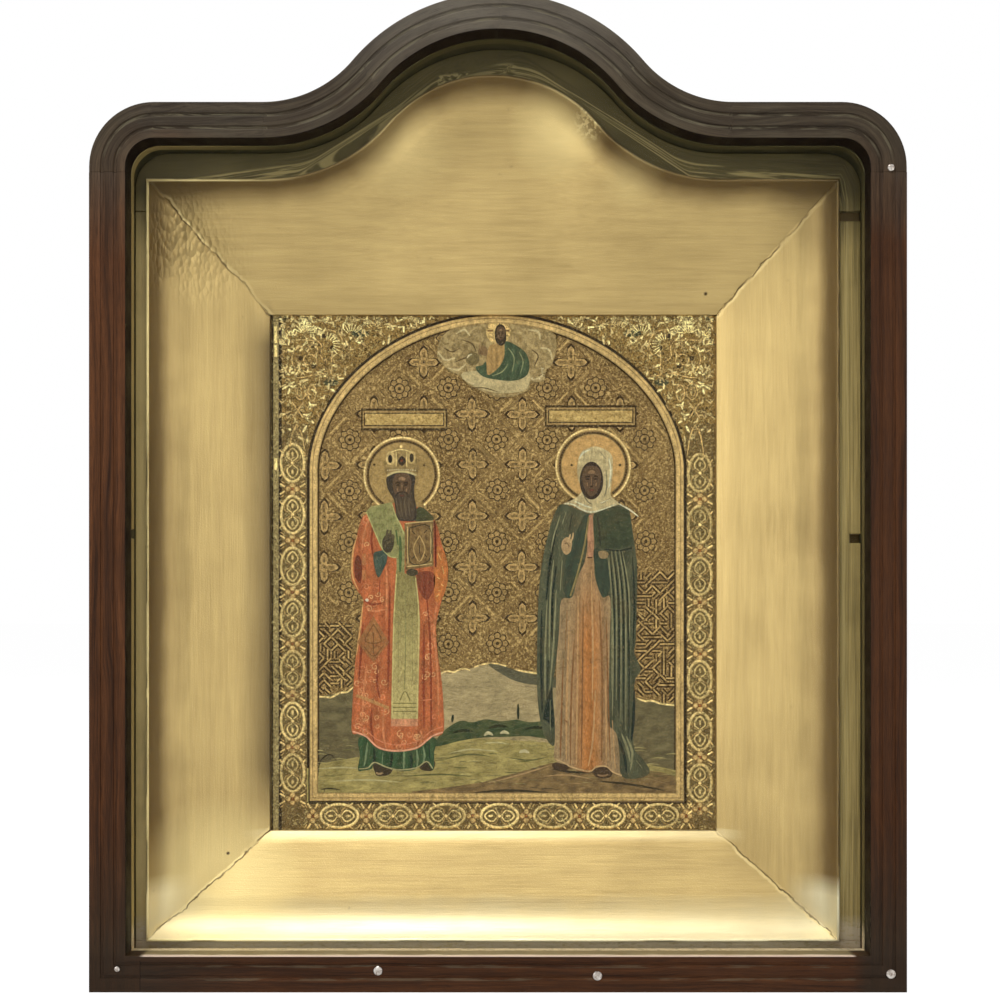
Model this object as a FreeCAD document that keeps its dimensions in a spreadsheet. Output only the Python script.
import FreeCAD, Part
import math
import os
import re

import Sketcher
from FreeCAD import Placement, Rotation, Vector

# Religious icon in an arched, glazed wooden case, in millimetres.
# +X is to the right, +Y runs from the glazed front to the back, +Z is up.
# The origin is the middle of the case floor's underside, on the surface that the case stands on.
# A setback is a depth behind the front face. An inset is measured inwards from the front frame's
# outer outline, and every arched outline here keeps the same arc centres.

FRAME_SIZES = (
    ("frame_width", 360.0),
    ("shoulder_height", 392.0),
    ("crown_rise", 48.0),
    ("crown_radius", 84.0),
    ("hollow_radius", 52.0),
    ("corner_radius", 28.6),
    ("face_width", 16.0),
    ("frame_thickness", 9.0),
    ("lap_depth", 4.5),
    ("outer_groove_inset", 4.9),
    ("inner_groove_inset", 10.6),
    ("rail_groove_lift", 1.3),
    ("groove_width", 1.6),
    ("groove_depth", 0.6),
    ("head_seam_drop", 31.0),
    ("head_lap", 15.0),
    ("toe_width", 22.7),
    ("toe_shoulder", 2.1),
    ("corner_brad_edge", 12.4),
    ("corner_brad_lift", 4.3),
    ("left_nail_reach", 52.8),
    ("left_nail_lift", 3.5),
    ("right_nail_reach", 43.8),
    ("right_nail_lift", 1.3),
    ("foot_nail_lift", 2.1),
    ("head_nail_lift", 2.0),
)

CASE_SIZES = (
    ("case_inset", 2.0),
    ("wall_thickness", 10.0),
    ("rear_gap", 3.0),
    ("floor_thickness", 12.0),
    ("housing_depth", 3.0),
    ("dowel_radius", 2.5),
    ("dowel_length", 20.0),
    ("front_dowel_setback", 40.0),
    ("rear_dowel_setback", 70.0),
    ("ledger_width", 10.0),
    ("ledger_head_gap", 26.0),
    ("shoulder_block_gap", 3.7),
)

GLAZING_SIZES = (
    ("glass_thickness", 2.0),
    ("fit_clearance", 0.3),
    ("bead_width", 3.5),
    ("bead_depth", 4.0),
    ("bead_notch_radius", 2.2),
    ("bead_notch_height", 202.8),
)

# The gilded surround slopes back from its ridge, by a cove and a flat slope, to the icon.
LINER_SIZES = (
    ("liner_left_shift", 2.4),
    ("liner_drop", 4.5),
    ("ridge_inset", 20.2),
    ("ridge_land", 1.2),
    ("ridge_setback", 25.0),
    ("ridge_height", 5.0),
    ("ridge_foot_lift", 3.7),
    ("cove_run", 6.0),
    ("cove_drop", 10.0),
    ("sight_setback", 50.5),
    ("sight_side_margin", 52.1),
    ("sight_top_margin", 56.2),
    ("sight_sill", 62.3),
    ("lip_thickness", 2.5),
    ("rabbet_depth", 7.0),
    ("rabbet_clearance", 0.5),
    ("filler_thickness", 3.0),
    ("filler_seam_drop", 8.0),
    ("filler_short_gap", 4.6),
    ("filler_notch_side", 4.2),
    ("filler_notch_height", 201.6),
    ("filler_notch_offset", 1.2),
)

ICON_SIZES = (
    ("panel_thickness", 20.0),
    ("panel_side_cover", 3.3),
    ("panel_bottom_cover", 3.3),
    ("panel_top_cover", 14.9),
    ("ground_thickness", 1.0),
    ("batten_width", 24.0),
    ("batten_undercut", 3.0),
    ("batten_depth", 10.0),
    ("batten_inlet", 6.0),
    ("batten_edge_distance", 46.0),
    ("relief_height", 0.8),
    ("moulding_width", 3.8),
    ("arch_side_margin", 19.0),
    ("arch_rise_share", 0.806),
    ("arch_spring_drop", 74.6),
    ("moulding_base_height", 19.8),
    ("layout_right_shift", 1.3),
    ("halo_lift", 1.0),
    ("halo_spacing", 92.7),
    ("halo_radius", 18.7),
    ("halo_rim_width", 2.6),
    ("cleat_width", 24.0),
    ("cleat_foot", 14.0),
    ("cleat_reach", 10.0),
    ("cleat_tongue", 4.0),
    ("cleat_batten_gap", 11.0),
)

BACK_SIZES = (
    ("board_thickness", 7.0),
    ("board_gap", 0.4),
    ("board_lap", 4.0),
    ("back_batten_width", 26.0),
    ("back_batten_thickness", 4.0),
    ("back_batten_inset", 40.0),
    ("lower_batten_height", 48.0),
    ("upper_batten_drop", 74.0),
    ("button_length", 30.0),
    ("button_width", 9.0),
    ("button_thickness", 3.6),
    ("button_edge_radius", 0.8),
    ("lower_button_height", 110.0),
    ("upper_button_drop", 76.0),
    ("running_clearance", 0.06),
)

HANGER_SIZES = (
    ("plate_length", 34.0),
    ("plate_height", 8.0),
    ("plate_thickness", 1.5),
    ("knuckle_length", 10.0),
    ("knuckle_wall", 1.1),
    ("knuckle_standoff", 3.4),
    ("ring_wire_radius", 1.5),
    ("ring_half_width", 12.0),
    ("ring_corner_radius", 4.0),
    ("ring_side_length", 9.0),
)

FASTENER_SIZES = (
    ("hole_clearance", 0.05),
    ("head_proud", 0.4),
    ("head_thickness", 0.9),
    ("large_head_radius", 2.1),
    ("small_head_radius", 1.4),
    ("frame_nail_radius", 0.9),
    ("frame_nail_length", 28.0),
    ("lap_brad_radius", 0.6),
    ("lap_brad_length", 7.5),
    ("wall_nail_radius", 1.0),
    ("wall_nail_length", 32.0),
    ("wall_nail_head_radius", 2.0),
    ("batten_nail_radius", 0.7),
    ("batten_nail_length", 9.0),
    ("batten_nail_head_radius", 1.5),
    ("screw_radius", 1.5),
    ("screw_head_radius", 3.2),
    ("screw_head_height", 1.8),
    ("screw_slot_width", 0.7),
    ("button_screw_length", 20.0),
    ("cleat_screw_length", 24.0),
    ("plate_screw_radius", 1.2),
    ("plate_screw_head_radius", 2.2),
    ("plate_screw_length", 14.0),
    ("plate_screw_inset", 5.0),
    ("cut_overrun", 2.0),
)

# Places that follow from the sizes above. Names that end in _y are planes, front to back.
DERIVED = (
    ("half_width", "frame_width / 2"),
    ("crown_height", "shoulder_height + crown_rise"),
    ("crown_centre", "crown_height - crown_radius"),
    ("head_seam_height", "shoulder_height - head_seam_drop"),
    ("toe_height", "face_width - toe_shoulder"),
    ("floor_middle", "floor_thickness / 2"),
    ("hollow_centre", "shoulder_height + hollow_radius"),
    ("arc_span", "crown_radius + hollow_radius"),
    ("hollow_reach", "sqrt(arc_span ^ 2 - (hollow_centre - crown_centre) ^ 2)"),
    ("tangent_run_share", "hollow_reach / arc_span"),
    ("tangent_lift_share", "(hollow_centre - crown_centre) / arc_span"),
    ("wall_inset", "case_inset + wall_thickness"),
    ("wall_centre_x", "half_width - case_inset - wall_thickness / 2"),
    ("wall_inner_x", "half_width - wall_inset"),
    ("icon_setback", "sight_setback + lip_thickness"),
    ("icon_depth", "ground_thickness + panel_thickness + batten_depth - batten_inlet"),
    ("full_depth", "icon_setback + icon_depth + rear_gap + board_thickness"),
    ("case_depth", "full_depth - frame_thickness"),
    ("front_y", "-(frame_thickness + case_depth / 2)"),
    ("lap_y", "front_y + lap_depth"),
    ("seat_y", "front_y + frame_thickness"),
    ("glass_back_y", "seat_y + glass_thickness"),
    ("bead_back_y", "glass_back_y + bead_depth"),
    ("ridge_y", "front_y + ridge_setback"),
    ("ledge_y", "ridge_y + ridge_height"),
    ("ridge_floor", "floor_thickness + ridge_foot_lift"),
    ("ridge_top", "shoulder_height - ridge_inset - liner_drop"),
    ("ridge_half_width", "half_width - ridge_inset"),
    ("filler_seam_height", "head_seam_height - filler_seam_drop"),
    ("filler_front_y", "ledge_y - filler_thickness"),
    ("sight_y", "front_y + sight_setback"),
    ("icon_front_y", "front_y + icon_setback"),
    ("panel_front_y", "icon_front_y + ground_thickness"),
    ("panel_back_y", "panel_front_y + panel_thickness"),
    ("liner_back_y", "icon_front_y + rabbet_depth"),
    ("back_y", "seat_y + case_depth"),
    ("board_front_y", "back_y - board_thickness"),
    ("board_lap_y", "back_y - board_thickness / 2"),
    ("button_front_y", "back_y + fit_clearance"),
    ("button_back_y", "button_front_y + button_thickness"),
    ("button_pivot_reach", "button_width / 2"),
    ("sight_half_width", "ridge_half_width - sight_side_margin"),
    ("sight_left", "-liner_left_shift - sight_half_width"),
    ("sight_right", "-liner_left_shift + sight_half_width"),
    ("sight_top", "ridge_top - sight_top_margin"),
    ("panel_bottom", "sight_sill - panel_bottom_cover"),
    ("panel_left", "sight_left - panel_side_cover"),
    ("panel_right", "sight_right + panel_side_cover"),
    ("panel_top", "sight_top + panel_top_cover"),
    ("arch_half_width", "sight_half_width - arch_side_margin"),
    ("arch_rise", "arch_half_width * arch_rise_share"),
    ("arch_spring", "sight_top - arch_spring_drop"),
    ("cleat_distance", "batten_edge_distance + (batten_width + cleat_width) / 2 + cleat_batten_gap"),
    ("layout_x", "layout_right_shift - liner_left_shift"),
    ("back_outline_inset", "wall_inset + fit_clearance"),
    ("board_width", "(frame_width - 2 * back_outline_inset) / 3"),
    ("back_batten_length", "frame_width - 2 * back_batten_inset"),
    ("upper_batten_height", "shoulder_height - upper_batten_drop"),
    ("upper_button_height", "head_seam_height - upper_button_drop"),
    ("hanger_height", "crown_height - case_inset - wall_thickness / 2"),
    ("knuckle_y", "back_y + knuckle_standoff"),
    ("knuckle_height", "hanger_height - plate_height / 2"),
)

doc = FreeCAD.newDocument("icon_case")
sheet = doc.addObject("Spreadsheet::Sheet", "sizes")
DRIVING = (
    FRAME_SIZES + CASE_SIZES + GLAZING_SIZES + LINER_SIZES + ICON_SIZES + BACK_SIZES
    + HANGER_SIZES + FASTENER_SIZES
)
ALIASES = set()
for row, (alias, entry) in enumerate(DRIVING + DERIVED, start=1):
    content = f"={entry}" if isinstance(entry, str) else str(entry)
    sheet.set(f"A{row}", alias)
    sheet.set(f"B{row}", content)
    sheet.setAlias(f"B{row}", alias)
    ALIASES.add(alias)
doc.recompute()

# Turns that point a cylinder, which stands along +Z, along another axis.
TURNS = {
    "+Y": Rotation(Vector(1, 0, 0), -90),
    "-Y": Rotation(Vector(1, 0, 0), 90),
    "+X": Rotation(Vector(0, 1, 0), 90),
    "-X": Rotation(Vector(0, 1, 0), -90),
    "+Z": Rotation(),
}
UPRIGHT = Rotation(Vector(1, 0, 0), 90)


def number(formula):
    """The value of a formula in the sheet's names."""
    return float(sheet.evalExpression(formula))


def bind(item, target, formula):
    """Ties one property of an object to a formula in the sheet's names."""
    linked = re.sub(
        r"[a-z][a-z_]*",
        lambda found: f"sizes.{found.group()}" if found.group() in ALIASES else found.group(),
        formula,
    )
    item.setExpression(target, linked)


def minus(formula):
    return f"-({formula})"


def mirrored(span):
    """A span along X on the other side of the middle plane."""
    low, high = span
    return minus(high), minus(low)


def around(middle, width):
    """The span of a width about a middle, as two formulas."""
    return f"{middle} - ({width}) / 2", f"{middle} + ({width}) / 2"


def box(name, across, depth, height):
    """A block between three pairs of formulas: along X, along Y and along Z."""
    block = doc.addObject("Part::Box", name)
    spans = zip(("Length", "Width", "Height"), "xyz", (across, depth, height))
    for side, axis, (low, high) in spans:
        bind(block, side, f"({high}) - ({low})")
        bind(block, f"Placement.Base.{axis}", low)
    return block


def rod(name, start, direction, length, radius):
    """A cylinder from a point, whose three coordinates are formulas, along an axis."""
    cylinder = doc.addObject("Part::Cylinder", name)
    cylinder.Placement = Placement(Vector(), TURNS[direction])
    for axis, place in zip("xyz", start):
        bind(cylinder, f"Placement.Base.{axis}", place)
    bind(cylinder, "Height", length)
    bind(cylinder, "Radius", radius)
    return cylinder


def fuse(name, pieces):
    joined = doc.addObject("Part::MultiFuse", name)
    joined.Shapes = pieces
    return joined


def group(name, pieces):
    """Separate solids that share one node."""
    together = doc.addObject("Part::Compound", name)
    together.Links = pieces
    return together


def cut(name, base, tool):
    rest = doc.addObject("Part::Cut", name)
    rest.Base = base
    rest.Tool = tool
    return rest


def common(name, base, region):
    kept = doc.addObject("Part::Common", name)
    kept.Base = base
    kept.Tool = region
    return kept


def draw(sketch, points, arcs):
    """Draws a closed outline whose corners, and the radii of its arcs, are formulas.

    points go anticlockwise as seen from the front. arcs maps the number of a side to its
    radius and its bulge: 1 swells out of the outline, -1 hollows it.
    """
    corners = [Vector(number(across), number(up), 0) for across, up in points]
    ends = []
    for side, start in enumerate(corners):
        finish = corners[(side + 1) % len(corners)]
        if side not in arcs:
            sketch.addGeometry(Part.LineSegment(start, finish))
            ends.append((1, 2))
            continue
        formula, bulge = arcs[side]
        radius = number(formula)
        chord = finish - start
        rise = math.sqrt(max(radius ** 2 - (chord.Length / 2) ** 2, 0))
        leftwards = Vector(-chord.y, chord.x, 0).normalize()
        centre = (start + finish) / 2 + leftwards * rise * bulge
        first, last = (start, finish) if bulge > 0 else (finish, start)
        angles = [math.atan2(point.y - centre.y, point.x - centre.x) for point in (first, last)]
        circle = Part.Circle(centre, Vector(0, 0, 1), radius)
        sketch.addGeometry(Part.ArcOfCircle(circle, *angles))
        ends.append((1, 2) if bulge > 0 else (2, 1))
        limit = sketch.addConstraint(Sketcher.Constraint("Radius", side, radius))
        bind(sketch, f"Constraints[{limit}]", formula)
    for side, (start, finish) in enumerate(ends):
        following = (side + 1) % len(ends)
        meeting = Sketcher.Constraint("Coincident", side, finish, following, ends[following][0])
        sketch.addConstraint(meeting)
        measures = zip(("DistanceX", "DistanceY"), corners[side], points[side])
        for kind, place, formula in measures:
            limit = sketch.addConstraint(
                Sketcher.Constraint(kind, -1, 1, side, start, place)
            )
            bind(sketch, f"Constraints[{limit}]", formula)


def draw_circle(sketch, formula):
    """Draws a circle about the sketch's origin."""
    radius = number(formula)
    ring = sketch.addGeometry(Part.Circle(Vector(), Vector(0, 0, 1), radius))
    sketch.addConstraint(Sketcher.Constraint("Coincident", ring, 3, -1, 1))
    limit = sketch.addConstraint(Sketcher.Constraint("Radius", ring, radius))
    bind(sketch, f"Constraints[{limit}]", formula)


def upright_sketch(name, outline, plane):
    """An outline drawn as seen from the front, on the plane at one depth."""
    sketch = doc.addObject("Sketcher::SketchObject", name)
    sketch.Placement = Placement(Vector(), UPRIGHT)
    bind(sketch, "Placement.Base.y", plane)
    draw(sketch, *outline)
    return sketch


def prism(name, outline, front, back):
    """An outline carried back from one plane to another."""
    solid = doc.addObject("Part::Extrusion", name)
    solid.Base = upright_sketch(f"{name}_outline", outline, front)
    solid.DirMode = "Custom"
    solid.Dir = Vector(0, 1, 0)
    bind(solid, "LengthFwd", f"({back}) - ({front})")
    solid.Solid = True
    return solid


def origin_plane(body, role):
    return next(item for item in body.Origin.OriginFeatures if item.Role == role)


def body_sketch(body, name, role):
    sketch = body.newObject("Sketcher::SketchObject", name)
    sketch.AttachmentSupport = [(origin_plane(body, role), "")]
    sketch.MapMode = "FlatFace"
    return sketch


def padded_body(name, outline, front, back):
    """A body whose one pad carries an outline back from one plane to another."""
    body = doc.addObject("PartDesign::Body", name)
    sketch = body_sketch(body, f"{name}_sketch", "XZ_Plane")
    bind(sketch, "AttachmentOffset.Base.z", minus(front))
    draw(sketch, *outline)
    pad = body.newObject("PartDesign::Pad", f"{name}_pad")
    pad.Profile = sketch
    pad.Reversed = True
    bind(pad, "Length", f"({back}) - ({front})")
    return body


def rectangle(across, height):
    (left, right), (low, high) = across, height
    return [(left, low), (right, low), (right, high), (left, high)], {}


def arched(inset, floor, left="0", drop="0", rounded=True):
    """The front's outline, set in: straight sides, shoulders, two hollows and a round crown."""
    side = f"half_width - ({inset})"
    shoulder = f"shoulder_height - ({inset}) - ({drop})"
    corner = f"corner_radius - ({inset})"
    crown = f"(crown_radius - ({inset}))"
    tangent_x = f"{crown} * tangent_run_share"
    tangent_z = f"crown_centre + {crown} * tangent_lift_share - ({drop})"
    right_half = [(tangent_x, tangent_z), ("hollow_reach", shoulder)]
    if rounded:
        right_half += [(f"{side} - ({corner})", shoulder), (side, f"{shoulder} - ({corner})")]
    else:
        right_half += [(side, shoulder)]
    right_half += [(side, floor)]
    left_half = [(minus(across), up) for across, up in right_half]
    points = [left_half[-1]] + right_half[::-1] + left_half[:-1]
    points = [(f"{across} - ({left})", up) for across, up in points]
    hollow = (f"hollow_radius + ({inset})", -1)
    first = 4 if rounded else 3
    arcs = {first: hollow, first + 1: (crown, 1), first + 2: hollow}
    if rounded:
        arcs[2] = (corner, 1)
        arcs[8] = (corner, 1)
    return points, arcs


NODES = {}


def node(item, name):
    """Gives a finished sub-part the name that its file takes."""
    item.Label = name
    NODES[name] = item
    return item


# The front frame: a grooved, arched ring of four members, half-lapped to each other.

ring_outer = prism("frame_outer", arched("0", "0"), "front_y", "seat_y")
ring_opening = prism(
    "frame_opening",
    arched("face_width", "face_width"),
    "front_y - cut_overrun",
    "seat_y + cut_overrun",
)
frame_ring = cut("frame_ring", ring_outer, ring_opening)


def groove(name, inset):
    """One incised line that runs round the face."""
    far = f"{inset} + groove_width"
    planes = ("front_y - cut_overrun", "front_y + groove_depth")
    outside = prism(f"{name}_outside", arched(inset, f"{inset} + rail_groove_lift"), *planes)
    inside = prism(f"{name}_inside", arched(far, f"{far} + rail_groove_lift"), *planes)
    return cut(name, outside, inside)


grooves = fuse(
    "frame_grooves",
    [groove("outer_groove", "outer_groove_inset"), groove("inner_groove", "inner_groove_inset")],
)
grooved_ring = cut("grooved_ring", frame_ring, grooves)

# The nails whose heads show: across, up, and whether the nail is a short lap brad.
NAIL_PLACES = (
    ("corner_brad", "-half_width + corner_brad_edge", "floor_middle + corner_brad_lift", True),
    ("left_rail_nail", "-left_nail_reach", "floor_middle + left_nail_lift", False),
    ("right_rail_nail", "right_nail_reach", "floor_middle + right_nail_lift", False),
    ("right_foot_nail", "wall_centre_x", "floor_middle + foot_nail_lift", False),
    ("right_head_nail", "wall_centre_x", "head_seam_height + head_nail_lift", False),
)


def front_nail(name, across, up, short, clearance):
    """A nail driven back from the front face, or with a clearance the hole that it leaves."""
    shank = "lap_brad_radius" if short else "frame_nail_radius"
    length = "lap_brad_length" if short else "frame_nail_length"
    head = "small_head_radius" if short else "large_head_radius"
    seat = "front_y - head_proud"
    pieces = [
        rod(f"{name}_shank", (across, seat, up), "+Y", f"{length} + {clearance}",
            f"{shank} + {clearance}"),
        rod(f"{name}_head", (across, seat, up), "+Y", f"head_thickness + {clearance}",
            f"{head} + {clearance}"),
    ]
    return fuse(name, pieces)


nails = [front_nail(*place, "0") for place in NAIL_PLACES]
node(group("frame_nails", nails), "frame_nails")
nail_holes = group(
    "frame_nail_holes",
    [front_nail(f"{place[0]}_hole", *place[1:], "hole_clearance") for place in NAIL_PLACES],
)
drilled_ring = cut("drilled_ring", grooved_ring, nail_holes)

FRAME_BEYOND = "half_width + cut_overrun"
FRONT_LAYER = ("front_y - cut_overrun", "lap_y")
REAR_LAYER = ("lap_y", "seat_y + cut_overrun")
FULL_LAYER = ("front_y - cut_overrun", "seat_y + cut_overrun")
TOP_BEYOND = "crown_height + cut_overrun"
STILE_EDGE = "half_width - face_width"
LAP_FOOT = "head_seam_height - head_lap"


def framed(name, blocks):
    """The part of the ring inside a few blocks, as one member of the frame."""
    region = fuse(f"{name}_region", [box(f"{name}_{tag}", *spans) for tag, *spans in blocks])
    return node(common(name, drilled_ring, region), name)


framed("frame_head", (
    ("front", (minus(FRAME_BEYOND), FRAME_BEYOND), FRONT_LAYER, ("head_seam_height", TOP_BEYOND)),
    ("rear", (minus(FRAME_BEYOND), FRAME_BEYOND), REAR_LAYER, (LAP_FOOT, TOP_BEYOND)),
))
framed("frame_right_stile", (
    ("front", (STILE_EDGE, FRAME_BEYOND), FRONT_LAYER, ("-cut_overrun", "head_seam_height")),
    ("rear", (STILE_EDGE, FRAME_BEYOND), REAR_LAYER, ("face_width", LAP_FOOT)),
))
framed("frame_left_stile", (
    ("front", mirrored((STILE_EDGE, FRAME_BEYOND)), FRONT_LAYER,
     ("-cut_overrun", "head_seam_height")),
    ("rear", mirrored((STILE_EDGE, FRAME_BEYOND)), REAR_LAYER, ("face_width", LAP_FOOT)),
    ("toe", ("-half_width - cut_overrun", "-half_width + toe_width"), FRONT_LAYER,
     ("-cut_overrun", "toe_height")),
))
framed("frame_bottom_rail", (
    ("front", ("-half_width + toe_width", STILE_EDGE), FRONT_LAYER, ("-cut_overrun", "face_width")),
    ("over_toe", (minus(STILE_EDGE), "-half_width + toe_width"), FRONT_LAYER,
     ("toe_height", "face_width")),
    ("rear", (minus(FRAME_BEYOND), FRAME_BEYOND), REAR_LAYER, ("-cut_overrun", "face_width")),
))

# The case: two walls that stand on a rabbeted floor, and an arched top on dowels.

CASE_SPAN = ("seat_y", "back_y")
WALL_SPAN = ("wall_inner_x", "half_width - case_inset")
floor_block = box(
    "floor_block",
    ("-wall_inner_x - housing_depth", "wall_inner_x + housing_depth"),
    CASE_SPAN,
    ("0", "floor_thickness"),
)
top_ring = cut(
    "case_top_ring",
    prism("case_top_outer", arched("case_inset", "head_seam_height"), *CASE_SPAN),
    prism(
        "case_top_inner",
        arched("wall_inset", "head_seam_height - cut_overrun"),
        "seat_y - cut_overrun",
        "back_y + cut_overrun",
    ),
)


def dowel(name, across, setback, clearance):
    length = f"dowel_length + 2 * {clearance}"
    foot = f"head_seam_height - ({length}) / 2"
    return rod(name, (across, f"front_y + {setback}", foot), "+Z", length,
               f"dowel_radius + {clearance}")


SIDES = (("left", "-wall_centre_x"), ("right", "wall_centre_x"))
DOWEL_ROWS = (("front", "front_dowel_setback"), ("rear", "rear_dowel_setback"))
dowels = [
    dowel(f"{side}_{row}_dowel", across, setback, "0")
    for side, across in SIDES
    for row, setback in DOWEL_ROWS
]
node(group("case_dowels", dowels), "case_dowels")
dowel_holes = group("dowel_holes", [
    dowel(f"{side}_{row}_dowel_hole", across, setback, "hole_clearance")
    for side, across in SIDES
    for row, setback in DOWEL_ROWS
])

WALL_NAIL_SHARES = (0.35, 0.6, 0.85)


def wall_nail(name, side, share, clearance):
    """A nail driven through a wall into the end of the floor."""
    sign, direction = ("-", "+X") if side == "left" else ("", "-X")
    outer = f"{sign}(half_width - case_inset)"
    start = (outer, f"seat_y + case_depth * {share}", "floor_middle")
    pieces = [
        rod(f"{name}_shank", start, direction, f"wall_nail_length + {clearance}",
            f"wall_nail_radius + {clearance}"),
        rod(f"{name}_head", start, direction, f"head_thickness + {clearance}",
            f"wall_nail_head_radius + {clearance}"),
    ]
    return fuse(name, pieces)


def wall_nail_set(tag, clearance):
    return [
        wall_nail(f"{side}_wall_{tag}_{place}", side, share, clearance)
        for side, across in SIDES
        for place, share in enumerate(WALL_NAIL_SHARES, start=1)
    ]


node(group("floor_nails", wall_nail_set("nail", "0")), "floor_nails")
floor_nail_holes = group("floor_nail_holes", wall_nail_set("nail_hole", "hole_clearance"))

# The glass stands against the frame's back and is held by four beads inside the case.

node(
    padded_body(
        "glass_pane",
        arched("wall_inset + fit_clearance", "floor_thickness"),
        "seat_y",
        "glass_back_y",
    ),
    "glass_pane",
)
bead_ring = cut(
    "bead_ring",
    prism("bead_outer", arched("wall_inset", "floor_thickness"), "glass_back_y", "bead_back_y"),
    prism(
        "bead_opening",
        arched("wall_inset + bead_width", "floor_thickness + bead_width"),
        "glass_back_y - cut_overrun",
        "bead_back_y + cut_overrun",
    ),
)
BEAD_DEPTH_SPAN = ("glass_back_y - cut_overrun", "bead_back_y + cut_overrun")
BEAD_EDGE = "wall_inner_x - bead_width"
BEAD_UPRIGHT_SPAN = ("floor_thickness + bead_width", "filler_seam_height")
left_bead = common("left_bead_blank", bead_ring, box(
    "left_bead_region", mirrored((BEAD_EDGE, "wall_inner_x")), BEAD_DEPTH_SPAN, BEAD_UPRIGHT_SPAN,
))
bead_notch = rod(
    "bead_notch",
    (minus(BEAD_EDGE), "glass_back_y - cut_overrun", "bead_notch_height"),
    "+Y",
    "bead_depth + 2 * cut_overrun",
    "bead_notch_radius",
)
node(cut("glazing_bead_left", left_bead, bead_notch), "glazing_bead_left")
node(common("glazing_bead_right", bead_ring, box(
    "right_bead_region", (BEAD_EDGE, "wall_inner_x"), BEAD_DEPTH_SPAN, BEAD_UPRIGHT_SPAN,
)), "glazing_bead_right")
node(common("glazing_bead_top", bead_ring, box(
    "top_bead_region", (minus(FRAME_BEYOND), FRAME_BEYOND), BEAD_DEPTH_SPAN,
    ("filler_seam_height", TOP_BEYOND),
)), "glazing_bead_top")
node(common("glazing_bead_bottom", bead_ring, box(
    "bottom_bead_region", (minus(FRAME_BEYOND), FRAME_BEYOND), BEAD_DEPTH_SPAN,
    ("0", "floor_thickness + bead_width"),
)), "glazing_bead_bottom")

# Four cleats screwed behind the liner reach over the panel's edge and hold it in.

CLEAT_SIDES = (("left", -1), ("right", 1))
CLEAT_LEVELS = (
    ("lower", "panel_bottom + cleat_distance"),
    ("upper", "panel_top - cleat_distance"),
)
CLEAT_BACK = "panel_back_y + cleat_tongue"


def cleat(name, side, height):
    edge = "panel_right + rabbet_clearance" if side > 0 else "panel_left - rabbet_clearance"
    away = (edge, f"{edge} + cleat_foot") if side > 0 else (f"{edge} - cleat_foot", edge)
    over = (f"{edge} - cleat_reach", edge) if side > 0 else (edge, f"{edge} + cleat_reach")
    rise = around(height, "cleat_width")
    foot = box(f"{name}_foot", away, ("liner_back_y", CLEAT_BACK), rise)
    tongue = box(f"{name}_tongue", over, ("panel_back_y", CLEAT_BACK), rise)
    return fuse(f"{name}_blank", [foot, tongue])


def back_screw(name, across, height, plane, length, clearance, slotted=True):
    """A slotted, flat-headed screw driven forwards from a plane, or the hole for it."""
    shank = rod(f"{name}_shank", (across, f"{plane} + screw_head_height", height), "-Y",
                f"screw_head_height + {length} + {clearance}", f"screw_radius + {clearance}")
    if not slotted:
        return shank
    head = rod(f"{name}_head", (across, plane, height), "+Y", "screw_head_height",
               "screw_head_radius")
    slot = box(f"{name}_slot",
               around(across, "2 * screw_head_radius + cut_overrun"),
               (f"{plane} + screw_head_height / 2", f"{plane} + screw_head_height + cut_overrun"),
               around(height, "screw_slot_width"))
    return cut(name, fuse(f"{name}_blank", [shank, head]), slot)


cleats, cleat_screws, cleat_holes = [], [], []
for side_name, side in CLEAT_SIDES:
    for level, height in CLEAT_LEVELS:
        name = f"{level}_{side_name}_cleat"
        edge = "panel_right + rabbet_clearance + cleat_foot / 2"
        if side < 0:
            edge = "panel_left - rabbet_clearance - cleat_foot / 2"
        spec = (edge, height, CLEAT_BACK, "cleat_screw_length")
        hole = back_screw(f"{name}_hole", *spec, "hole_clearance", slotted=False)
        cleats.append(cut(name, cleat(name, side, height), hole))
        cleat_screws.append(back_screw(f"{name}_screw", *spec, "0"))
        cleat_holes.append(hole)
node(group("icon_cleats", cleats), "icon_cleats")
node(group("cleat_screws", cleat_screws), "cleat_screws")

# The gilded liner: four mitred mouldings, hollowed together by one dished tool.



def ridge_outline(inset):
    """The ridge's outline, sharp at its corners, or one set in from it by the same rule."""
    floor = f"ridge_floor + ({inset}) - ridge_inset"
    return arched(inset, floor, "liner_left_shift", "liner_drop", rounded=False)


liner_base = prism(
    "liner_base", arched("wall_inset + fit_clearance", "floor_thickness"), "ledge_y", "liner_back_y"
)
liner_ridge = prism("liner_ridge", ridge_outline("ridge_inset"), "ridge_y", "liner_back_y")
liner_blank = fuse("liner_blank", [liner_base, liner_ridge])


def dish_contour(name, inset, plane):
    """The dish's outline where it lies one inset in from the ridge's outline."""
    return upright_sketch(name, ridge_outline(inset), plane)


def sight_contour(name, plane):
    """The sight opening, with its top edge divided as the arch above it is."""
    outer = ridge_outline("ridge_inset")[0]
    top = []
    for across, up in outer[3:-1]:
        share = f"(({across}) + liner_left_shift) / ridge_half_width"
        top.append((f"-liner_left_shift + {share} * sight_half_width", "sight_top"))
    points = [
        ("sight_left", "sight_sill"),
        ("sight_right", "sight_sill"),
        ("sight_right", "sight_top"),
        *top,
        ("sight_left", "sight_top"),
    ]
    return upright_sketch(name, (points, {}), plane)


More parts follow.
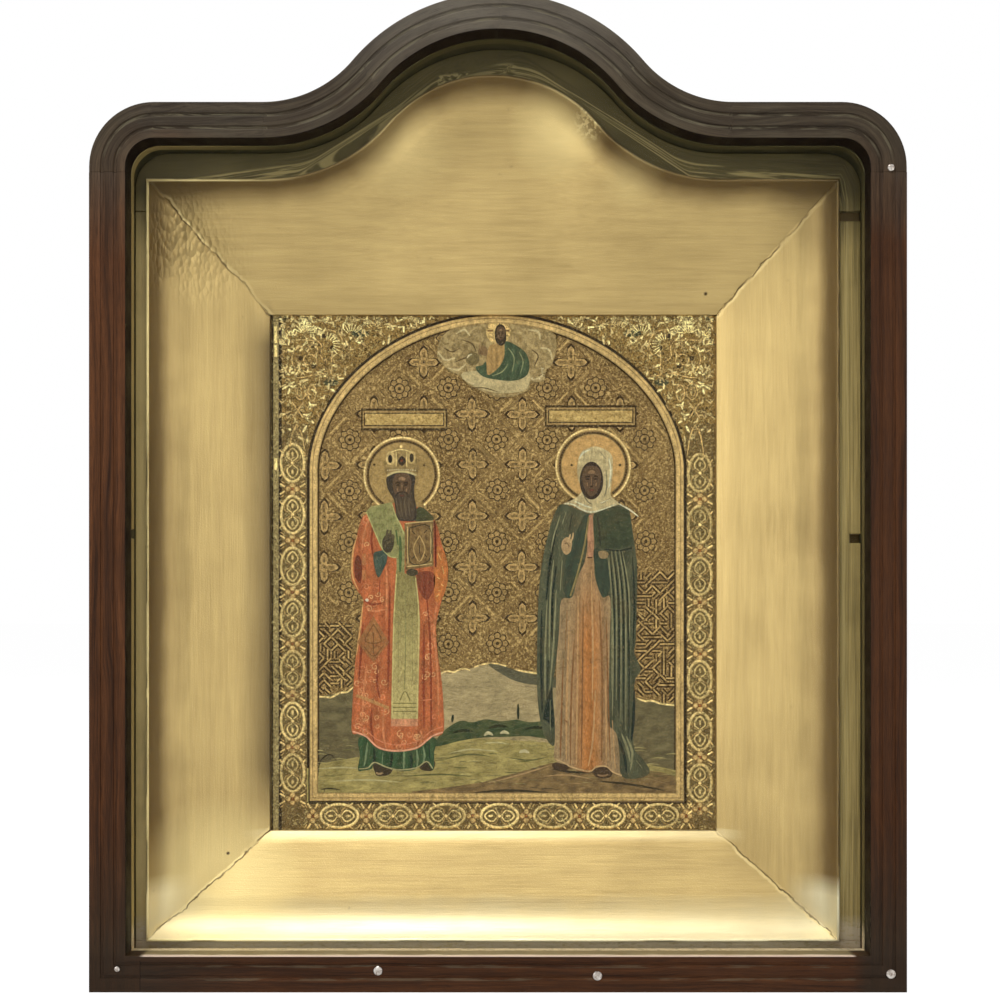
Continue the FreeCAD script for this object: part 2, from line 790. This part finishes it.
FIRST_INSET = "ridge_inset + ridge_land"
COVE_STEPS = 3
contours = [
    dish_contour("dish_mouth", FIRST_INSET, "ridge_y - cut_overrun"),
    dish_contour("dish_rim", FIRST_INSET, "ridge_y"),
]
for step in range(1, COVE_STEPS + 1):
    turn = math.pi / 2 * step / COVE_STEPS
    run_share = 1 - math.cos(turn)
    drop_share = math.sin(turn)
    contours.append(dish_contour(
        f"dish_cove_{step}",
        f"{FIRST_INSET} + cove_run * {run_share:.6f}",
        f"ridge_y + cove_drop * {drop_share:.6f}",
    ))
contours += [
    sight_contour("dish_sight", "sight_y"),
    sight_contour("dish_end", "liner_back_y + cut_overrun"),
]
dish = doc.addObject("Part::Loft", "liner_dish")
dish.Sections = contours
dish.Solid = True
dish.Ruled = True
rabbet = box(
    "icon_rabbet",
    ("panel_left - rabbet_clearance", "panel_right + rabbet_clearance"),
    ("icon_front_y", "liner_back_y + cut_overrun"),
    ("panel_bottom", "panel_top + rabbet_clearance"),
)
dished = cut("dished_liner", liner_blank, dish)
liner_ring = cut("liner_ring", dished, group("liner_cuts", [rabbet, *cleat_holes]))

# Each mitre runs from a sight corner through the ridge's corner, and on past the outer edge.
RIDGE_LEFT = "-ridge_half_width - liner_left_shift"
RIDGE_RIGHT = "ridge_half_width - liner_left_shift"
MITRE_REACH_SHARE = 2.5


def mitre_end(sight, ridge):
    return tuple(
        f"{near} + (({far}) - {near}) * {MITRE_REACH_SHARE}" for near, far in zip(sight, ridge)
    )


CORNERS = {
    "bottom_left": (("sight_left", "sight_sill"), (RIDGE_LEFT, "ridge_floor")),
    "bottom_right": (("sight_right", "sight_sill"), (RIDGE_RIGHT, "ridge_floor")),
    "top_right": (("sight_right", "sight_top"), (RIDGE_RIGHT, "ridge_top")),
    "top_left": (("sight_left", "sight_top"), (RIDGE_LEFT, "ridge_top")),
}


def liner_member(name, first, second):
    """The stretch of the liner between two mitres, listed anticlockwise."""
    start, finish = CORNERS[first], CORNERS[second]
    wedge = [start[0], mitre_end(*start), mitre_end(*finish), finish[0]]
    region = prism(
        f"{name}_wedge", (wedge, {}), "ridge_y - cut_overrun", "liner_back_y + cut_overrun"
    )
    return node(common(name, liner_ring, region), name)


liner_member("liner_bottom", "bottom_left", "bottom_right")
liner_member("liner_right", "bottom_right", "top_right")
liner_member("liner_top", "top_right", "top_left")
liner_member("liner_left", "top_left", "bottom_left")

# Bronzed filler strips close the gap between the liner's ridge and the case.

filler_ring = cut(
    "filler_ring",
    prism(
        "filler_outer",
        arched("wall_inset + fit_clearance", "floor_thickness"),
        "filler_front_y",
        "ledge_y",
    ),
    prism(
        "filler_opening",
        ridge_outline("ridge_inset"),
        "filler_front_y - cut_overrun",
        "ledge_y + cut_overrun",
    ),
)
FILLER_DEPTH_SPAN = ("filler_front_y - cut_overrun", "ledge_y + cut_overrun")
ALL_ACROSS = (minus(FRAME_BEYOND), FRAME_BEYOND)
node(common("filler_top", filler_ring, box(
    "filler_top_region", ALL_ACROSS, FILLER_DEPTH_SPAN, ("filler_seam_height", TOP_BEYOND),
)), "filler_top")
node(common("filler_bottom", filler_ring, box(
    "filler_bottom_region", ALL_ACROSS, FILLER_DEPTH_SPAN, ("0", "ridge_floor"),
)), "filler_bottom")
node(common("filler_left", filler_ring, box(
    "filler_left_region", (minus(FRAME_BEYOND), RIDGE_LEFT), FILLER_DEPTH_SPAN,
    ("ridge_floor", "filler_seam_height - fit_clearance"),
)), "filler_left")
short_filler = common("short_filler", filler_ring, box(
    "filler_right_region", (RIDGE_RIGHT, FRAME_BEYOND), FILLER_DEPTH_SPAN,
    ("ridge_floor", "filler_seam_height - filler_short_gap"),
))
filler_notch = box(
    "filler_notch",
    ("wall_inner_x - filler_notch_offset - filler_notch_side", "wall_inner_x + cut_overrun"),
    FILLER_DEPTH_SPAN,
    around("filler_notch_height", "filler_notch_side"),
)
node(cut("filler_right", short_filler, filler_notch), "filler_right")

# Ledgers behind the liner carry it, and stop the back boards.

LEDGER_DEPTH_SPAN = ("liner_back_y", "board_front_y")
LEDGER_SPAN = ("wall_inner_x - ledger_width", "wall_inner_x")
LEDGER_RISE = ("floor_thickness + ledger_width", "head_seam_height - ledger_head_gap")
node(box("ledger_left", mirrored(LEDGER_SPAN), LEDGER_DEPTH_SPAN, LEDGER_RISE), "ledger_left")
node(box("ledger_right", LEDGER_SPAN, LEDGER_DEPTH_SPAN, LEDGER_RISE), "ledger_right")
node(box(
    "ledger_bottom", ("-wall_inner_x", "wall_inner_x"), LEDGER_DEPTH_SPAN,
    ("floor_thickness", "floor_thickness + ledger_width"),
), "ledger_bottom")
BLOCK_SPAN = (
    "hollow_reach + shoulder_block_gap",
    "half_width - corner_radius - shoulder_block_gap",
)
BLOCK_RISE = (
    "shoulder_height - wall_inset - ledger_width",
    "shoulder_height - wall_inset",
)
shoulder_blocks = [
    box("left_shoulder_block", mirrored(BLOCK_SPAN), LEDGER_DEPTH_SPAN, BLOCK_RISE),
    box("right_shoulder_block", BLOCK_SPAN, LEDGER_DEPTH_SPAN, BLOCK_RISE),
]
node(group("ledger_shoulder_blocks", shoulder_blocks), "ledger_shoulder_blocks")

# The icon: a wooden panel with two dovetailed battens, and a gilt gesso ground on its face.

BATTEN_HEIGHTS = {
    "lower": "panel_bottom + batten_edge_distance",
    "upper": "panel_top - batten_edge_distance",
}
BATTEN_FRONT = "panel_back_y - batten_inlet"


def dovetail(name, height, clearance, across):
    """A batten's section, wider at the root, carried along X."""
    front = f"{BATTEN_FRONT} - {clearance}"
    back = f"{BATTEN_FRONT} + batten_depth"
    root = f"batten_width / 2 + {clearance}"
    crest = f"batten_width / 2 - batten_undercut + {clearance}"
    corners = [
        (front, f"{height} - ({root})"),
        (back, f"{height} - ({crest})"),
        (back, f"{height} + {crest}"),
        (front, f"{height} + {root}"),
    ]
    sketch = doc.addObject("Sketcher::SketchObject", f"{name}_section")
    sketch.Placement = Placement(Vector(), Rotation(Vector(1, 1, 1), 120))
    bind(sketch, "Placement.Base.x", across[0])
    draw(sketch, corners, {})
    solid = doc.addObject("Part::Extrusion", name)
    solid.Base = sketch
    solid.DirMode = "Custom"
    solid.Dir = Vector(1, 0, 0)
    bind(solid, "LengthFwd", f"({across[1]}) - ({across[0]})")
    solid.Solid = True
    return solid


panel_blank = box(
    "panel_blank",
    ("panel_left", "panel_right"),
    ("panel_front_y", "panel_back_y"),
    ("panel_bottom", "panel_top"),
)
batten_slots = []
for level, height in BATTEN_HEIGHTS.items():
    batten = dovetail(f"icon_batten_{level}", height, "0", ("panel_left", "panel_right"))
    node(batten, f"icon_batten_{level}")
    overrun = ("panel_left - cut_overrun", "panel_right + cut_overrun")
    batten_slots.append(dovetail(f"{level}_slot", height, "hole_clearance", overrun))
node(cut("icon_panel", panel_blank, fuse("batten_slots", batten_slots)), "icon_panel")

ground_plate = padded_body(
    "ground_plate",
    rectangle(("panel_left", "panel_right"), ("panel_bottom", "panel_top")),
    "icon_front_y",
    "panel_front_y",
)
RELIEF_FRONT = "icon_front_y - relief_height"
RELIEF_BACK = "icon_front_y + ground_thickness / 2"


def arch_field(name, spread, front, back):
    """The field inside the painted arch, grown by a spread: a rectangle under a half ellipse."""
    half = f"arch_half_width + {spread}"
    foot = f"panel_bottom + moulding_base_height - ({spread})"
    lower = prism(
        f"{name}_lower",
        rectangle((f"layout_x - ({half})", f"layout_x + {half}"), (foot, "arch_spring")),
        front,
        back,
    )
    arch = doc.addObject("Part::Ellipse", f"{name}_ellipse")
    arch.Placement = Placement(Vector(), UPRIGHT)
    bind(arch, "MajorRadius", half)
    bind(arch, "MinorRadius", f"arch_rise + {spread}")
    bind(arch, "Placement.Base.x", "layout_x")
    bind(arch, "Placement.Base.y", front)
    bind(arch, "Placement.Base.z", "arch_spring")
    vault = doc.addObject("Part::Extrusion", f"{name}_vault")
    vault.Base = arch
    vault.DirMode = "Custom"
    vault.Dir = Vector(0, 1, 0)
    bind(vault, "LengthFwd", f"({back}) - ({front})")
    vault.Solid = True
    above = box(
        f"{name}_above",
        (f"layout_x - ({half}) - cut_overrun", f"layout_x + {half} + cut_overrun"),
        (f"({front}) - cut_overrun", f"({back}) + cut_overrun"),
        ("arch_spring", "panel_top + cut_overrun"),
    )
    return fuse(name, [lower, common(f"{name}_upper", vault, above)])


moulding = cut(
    "arch_moulding",
    arch_field("moulding_outer", "moulding_width / 2", RELIEF_FRONT, RELIEF_BACK),
    arch_field("moulding_inner", "-moulding_width / 2",
               f"{RELIEF_FRONT} - cut_overrun", f"{RELIEF_BACK} + cut_overrun"),
)


def halo_rim(name, across):
    centre = "arch_spring + halo_lift"
    rim = rod(f"{name}_rim", (across, RELIEF_FRONT, centre), "+Y",
              f"({RELIEF_BACK}) - ({RELIEF_FRONT})", "halo_radius")
    bore = rod(f"{name}_bore", (across, f"{RELIEF_FRONT} - cut_overrun", centre), "+Y",
               "relief_height + ground_thickness + 2 * cut_overrun", "halo_radius - halo_rim_width")
    return cut(name, rim, bore)


halos = [
    halo_rim("left_halo", "layout_x - halo_spacing / 2"),
    halo_rim("right_halo", "layout_x + halo_spacing / 2"),
]
node(fuse("icon_ground", [ground_plate, moulding, *halos]), "icon_ground")

# The back: three shiplapped boards on two battens, held by four turn buttons.

back_sheet = prism(
    "back_sheet", arched("back_outline_inset", "floor_thickness"), "board_front_y", "back_y"
)
BOARD_FRONT = ("board_front_y - cut_overrun", "board_lap_y")
BOARD_REAR = ("board_lap_y", "back_y + cut_overrun")
BOARD_RISE = ("0", TOP_BEYOND)
INNER_SEAM = "board_width / 2"
FAR_SEAM = f"{INNER_SEAM} + board_lap"


def back_board(name, front, rear):
    """A board between seams that differ on its front half and its rear half."""
    region = fuse(f"{name}_region", [
        box(f"{name}_front", front, BOARD_FRONT, BOARD_RISE),
        box(f"{name}_rear", rear, BOARD_REAR, BOARD_RISE),
    ])
    return common(f"{name}_blank", back_sheet, region)


boards = {
    "left": back_board("left_board", (minus(FRAME_BEYOND), minus(INNER_SEAM)),
                       (minus(FRAME_BEYOND), minus(FAR_SEAM))),
    "middle": back_board(
        "middle_board",
        (f"-({INNER_SEAM}) + board_gap", f"{FAR_SEAM} - board_gap"),
        (f"-({FAR_SEAM}) + board_gap", f"{INNER_SEAM} - board_gap"),
    ),
    "right": back_board("right_board", (FAR_SEAM, FRAME_BEYOND), (INNER_SEAM, FRAME_BEYOND)),
}

# Each batten is nailed once near each edge of every board that it crosses.
NAIL_COLUMN_SHARES = (-0.44, -0.26, -0.1, 0.1, 0.26, 0.44)
NAIL_OFFSET_SHARE = 0.18
BACK_BATTENS = (("lower", "lower_batten_height"), ("upper", "upper_batten_height"))
BATTEN_BACK = "back_y + back_batten_thickness"


def batten_nails(tag, height, clearance):
    pieces = []
    for column, share in enumerate(NAIL_COLUMN_SHARES, start=1):
        offset = NAIL_OFFSET_SHARE if column % 2 else -NAIL_OFFSET_SHARE
        place = (f"back_batten_length * {share}", BATTEN_BACK,
                 f"{height} + back_batten_width * {offset}")
        shank = rod(f"{tag}_{column}_shank", place, "-Y", f"batten_nail_length + {clearance}",
                    f"batten_nail_radius + {clearance}")
        if clearance != "0":
            pieces.append(shank)
            continue
        head = rod(f"{tag}_{column}_head", place, "+Y", "head_proud", "batten_nail_head_radius")
        pieces.append(fuse(f"{tag}_{column}", [shank, head]))
    return pieces


all_nails, all_nail_holes = [], []
for level, height in BACK_BATTENS:
    all_nails += batten_nails(f"{level}_batten_nail", height, "0")
    holes = batten_nails(f"{level}_batten_hole", height, "hole_clearance")
    all_nail_holes += holes
    plank = box(
        f"{level}_back_plank",
        ("-back_batten_length / 2", "back_batten_length / 2"),
        ("back_y", BATTEN_BACK),
        around(height, "back_batten_width"),
    )
    drilled = cut(f"back_batten_{level}", plank, group(f"{level}_batten_holes", holes))
    node(drilled, f"back_batten_{level}")
node(group("batten_nails", all_nails), "batten_nails")
board_holes = group("board_holes", all_nail_holes)
for place, board in boards.items():
    node(cut(f"back_board_{place}", board, board_holes), f"back_board_{place}")

# A turn button is a flat bar, round at its pivot and at its tail, with eased edges.

BUTTON_LEVELS = (("lower", "lower_button_height"), ("upper", "upper_button_height"))
BUTTON_BORE = "screw_radius + running_clearance"


def rounds_bore(edge):
    radius = getattr(edge.Curve, "Radius", 0)
    return math.isclose(radius, number(BUTTON_BORE))


button_screws, button_screw_holes = [], []
for side, across in SIDES:
    for level, height in BUTTON_LEVELS:
        name = f"turn_button_{level}_{side}"
        body = doc.addObject("PartDesign::Body", name)
        sketch = body_sketch(body, f"{name}_sketch", "XZ_Plane")
        reach = "button_length - button_width"
        bar = (
            [
                ("0", "-button_pivot_reach"), (reach, "-button_pivot_reach"),
                (f"{reach} + button_pivot_reach", "0"), (reach, "button_pivot_reach"),
                ("0", "button_pivot_reach"), ("-button_pivot_reach", "0"),
            ],
            {corner: ("button_pivot_reach", 1) for corner in (1, 2, 4, 5)},
        )
        draw(sketch, *bar)
        draw_circle(sketch, BUTTON_BORE)
        pad = body.newObject("PartDesign::Pad", f"{name}_pad")
        pad.Profile = sketch
        pad.Reversed = True
        bind(pad, "Length", "button_thickness")
        doc.recompute()
        rims = [
            f"Edge{index}"
            for index, edge in enumerate(pad.Shape.Edges, start=1)
            if edge.BoundBox.YMin > number("button_thickness / 2") and not rounds_bore(edge)
        ]
        easing = body.newObject("PartDesign::Fillet", f"{name}_easing")
        easing.Base = (pad, rims)
        bind(easing, "Radius", "button_edge_radius")
        body.Tip = easing
        half_turn = 180 if side == "right" else 0
        body.Placement = Placement(Vector(), Rotation(Vector(0, 1, 0), half_turn))
        bind(body, "Placement.Base.x", across)
        bind(body, "Placement.Base.y", "button_front_y")
        bind(body, "Placement.Base.z", height)
        node(body, name)
        spec = (across, height, "button_back_y + fit_clearance", "button_screw_length")
        button_screws.append(back_screw(f"{name}_screw", *spec, "0"))
        button_screw_holes.append(
            back_screw(f"{name}_screw_hole", *spec, "hole_clearance", slotted=False)
        )
node(group("turn_button_screws", button_screws), "turn_button_screws")

# The hanger: a screwed plate whose rolled knuckle holds a D-shaped ring.

knuckle_radius = "ring_wire_radius + running_clearance + knuckle_wall"
plate_blank = box(
    "hanger_plate_blank",
    around("0", "plate_length"),
    ("back_y", "back_y + plate_thickness"),
    ("knuckle_height", "knuckle_height + plate_height"),
)
knuckle_web = box(
    "knuckle_web",
    around("0", "knuckle_length"),
    ("back_y", "knuckle_y"),
    ("knuckle_height", f"knuckle_height + {knuckle_radius}"),
)
knuckle_tube = rod("knuckle_tube", ("-knuckle_length / 2", "knuckle_y", "knuckle_height"), "+X",
                   "knuckle_length", knuckle_radius)
knuckle_bore = rod(
    "knuckle_bore",
    ("-knuckle_length / 2 - cut_overrun", "knuckle_y", "knuckle_height"),
    "+X",
    "knuckle_length + 2 * cut_overrun",
    "ring_wire_radius + running_clearance",
)
PLATE_SCREW_X = "plate_length / 2 - plate_screw_inset"


def plate_screw(name, across, clearance):
    """A countersunk screw, flush with the plate, or with a clearance the hole for it."""
    face = "back_y + plate_thickness"
    middle = "knuckle_height + plate_height / 2"
    shank = rod(f"{name}_shank", (across, face, middle), "-Y",
                f"plate_screw_length + {clearance}", f"plate_screw_radius + {clearance}")
    head = doc.addObject("Part::Cone", f"{name}_head")
    head.Placement = Placement(Vector(), TURNS["-Y"])
    bind(head, "Placement.Base.x", across)
    bind(head, "Placement.Base.y", face)
    bind(head, "Placement.Base.z", middle)
    bind(head, "Radius1", f"plate_screw_head_radius + {clearance}")
    bind(head, "Radius2", f"plate_screw_radius + {clearance}")
    bind(head, "Height", "plate_thickness")
    return fuse(name, [shank, head])


plate_screws = [
    plate_screw("left_plate_screw", minus(PLATE_SCREW_X), "0"),
    plate_screw("right_plate_screw", PLATE_SCREW_X, "0"),
]
plate_screw_holes = [
    plate_screw("left_plate_screw_hole", minus(PLATE_SCREW_X), "hole_clearance"),
    plate_screw("right_plate_screw_hole", PLATE_SCREW_X, "hole_clearance"),
]
plate_cuts = fuse("hanger_plate_cuts", [knuckle_bore, *plate_screw_holes])
plate_whole = fuse("hanger_plate_whole", [plate_blank, knuckle_web, knuckle_tube])
node(cut("hanger_plate", plate_whole, plate_cuts), "hanger_plate")
node(group("hanger_screws", plate_screws), "hanger_screws")

ring_body = doc.addObject("PartDesign::Body", "hanging_ring")
ring_path = body_sketch(ring_body, "ring_path", "XZ_Plane")
bar_half = "ring_half_width - ring_corner_radius"
corner_foot = "-ring_corner_radius"
side_foot = "-ring_corner_radius - ring_side_length"
draw(
    ring_path,
    [
        (bar_half, "0"), (minus(bar_half), "0"),
        ("-ring_half_width", corner_foot), ("-ring_half_width", side_foot),
        ("0", f"{side_foot} - ring_half_width"),
        ("ring_half_width", side_foot), ("ring_half_width", corner_foot),
    ],
    {
        1: ("ring_corner_radius", 1),
        3: ("ring_half_width", 1),
        4: ("ring_half_width", 1),
        6: ("ring_corner_radius", 1),
    },
)
ring_section = body_sketch(ring_body, "ring_section", "YZ_Plane")
draw_circle(ring_section, "ring_wire_radius")
ring_pipe = ring_body.newObject("PartDesign::AdditivePipe", "ring_wire")
ring_pipe.Profile = ring_section
ring_sides = range(1, len(ring_path.Geometry) + 1)
ring_pipe.Spine = (ring_path, [f"Edge{side}" for side in ring_sides])
bind(ring_body, "Placement.Base.y", "knuckle_y")
bind(ring_body, "Placement.Base.z", "knuckle_height")
node(ring_body, "hanging_ring")

# The case pieces come last, because every fastener's hole is cut from them.

wall_rise = ("0", "head_seam_height")
wall_cuts = group("wall_cuts", [floor_block, floor_nail_holes, dowel_holes, nail_holes,
                                *button_screw_holes])
left_wall = box("left_wall_blank", mirrored(WALL_SPAN), CASE_SPAN, wall_rise)
right_wall = box("right_wall_blank", WALL_SPAN, CASE_SPAN, wall_rise)
node(cut("case_left_wall", left_wall, wall_cuts), "case_left_wall")
node(cut("case_right_wall", right_wall, wall_cuts), "case_right_wall")
floor_cuts = group("floor_cuts", [floor_nail_holes, nail_holes])
node(cut("case_floor", floor_block, floor_cuts), "case_floor")
top_cuts = group("top_cuts", [dowel_holes, nail_holes, *plate_screw_holes])
node(cut("case_top", top_ring, top_cuts), "case_top")

doc.recompute()

for item in doc.Objects:
    if "Invalid" in item.State or "Error" in item.State:
        raise RuntimeError(f"{item.Name} did not build: {item.State}")
for name, item in NODES.items():
    shape = item.Shape
    if shape.isNull() or not shape.isValid() or not shape.Solids:
        raise RuntimeError(f"{name} has no sound shape")

os.makedirs("parts", exist_ok=True)
for name, item in NODES.items():
    item.Shape.exportStep(f"parts/{name}.step")
print(f"{len(NODES)} nodes written")
